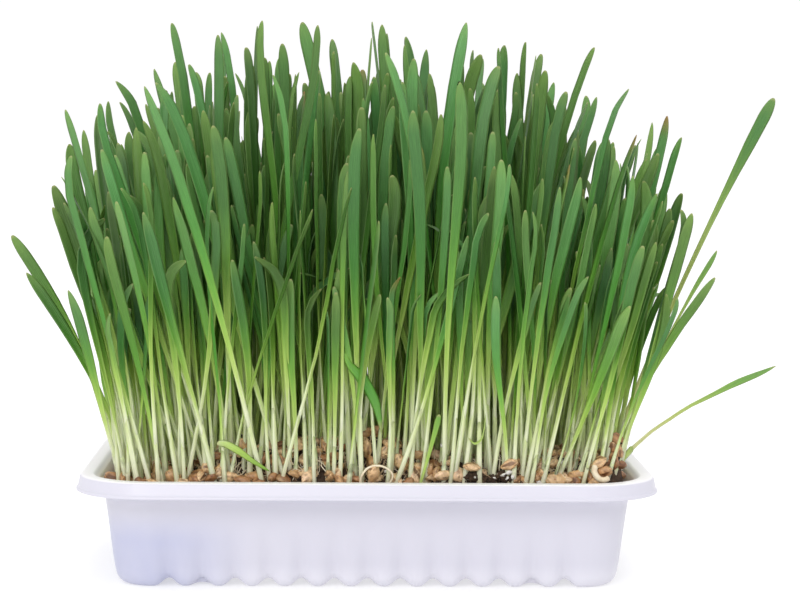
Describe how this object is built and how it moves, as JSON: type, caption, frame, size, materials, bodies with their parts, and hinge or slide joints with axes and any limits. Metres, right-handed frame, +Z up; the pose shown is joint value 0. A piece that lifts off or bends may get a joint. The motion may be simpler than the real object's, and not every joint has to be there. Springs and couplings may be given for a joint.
{
  "type": "wheatgrass tray",
  "caption": "Wheatgrass growing from sprouted grains in soil, in a white plastic tray with a turned-over rim and fluted sides.",
  "frame": {"origin": "middle of the tray's underside, on the plane that its feet stand on", "axes": "+X along the tray's long side, to the right as seen from the front; -Y out of the front; +Z up"},
  "size_m": [0.2532, 0.1784, 0.1855],
  "materials": {
    "white_plastic": "satin, faintly translucent",
    "dark_soil": "dry, crumbly growing medium with specks of perlite",
    "wheatgrass": "fresh leaves with a soft sheen, pale at the stems and straw brown at the grains"
  },
  "bodies": {
    "root": {"tray": "white_plastic", "soil": "dark_soil", "tuft_r1_c1": "wheatgrass", "tuft_r1_c2": "wheatgrass", "tuft_r1_c3": "wheatgrass", "tuft_r1_c4": "wheatgrass", "tuft_r1_c5": "wheatgrass", "tuft_r1_c6": "wheatgrass", "tuft_r1_c7": "wheatgrass", "tuft_r1_c8": "wheatgrass", "tuft_r2_c1": "wheatgrass", "tuft_r2_c2": "wheatgrass", "tuft_r2_c3": "wheatgrass", "tuft_r2_c4": "wheatgrass", "tuft_r2_c5": "wheatgrass", "tuft_r2_c6": "wheatgrass", "tuft_r2_c7": "wheatgrass", "tuft_r2_c8": "wheatgrass", "tuft_r3_c1": "wheatgrass", "tuft_r3_c2": "wheatgrass", "tuft_r3_c3": "wheatgrass", "tuft_r3_c4": "wheatgrass", "tuft_r3_c5": "wheatgrass", "tuft_r3_c6": "wheatgrass", "tuft_r3_c7": "wheatgrass", "tuft_r3_c8": "wheatgrass", "tuft_r4_c1": "wheatgrass", "tuft_r4_c2": "wheatgrass", "tuft_r4_c3": "wheatgrass", "tuft_r4_c4": "wheatgrass", "tuft_r4_c5": "wheatgrass", "tuft_r4_c6": "wheatgrass", "tuft_r4_c7": "wheatgrass", "tuft_r4_c8": "wheatgrass", "tuft_r5_c1": "wheatgrass", "tuft_r5_c2": "wheatgrass", "tuft_r5_c3": "wheatgrass", "tuft_r5_c4": "wheatgrass", "tuft_r5_c5": "wheatgrass", "tuft_r5_c6": "wheatgrass", "tuft_r5_c7": "wheatgrass", "tuft_r5_c8": "wheatgrass", "tuft_r6_c1": "wheatgrass", "tuft_r6_c2": "wheatgrass", "tuft_r6_c3": "wheatgrass", "tuft_r6_c4": "wheatgrass", "tuft_r6_c5": "wheatgrass", "tuft_r6_c6": "wheatgrass", "tuft_r6_c7": "wheatgrass", "tuft_r6_c8": "wheatgrass"}
  },
  "joints": []
}
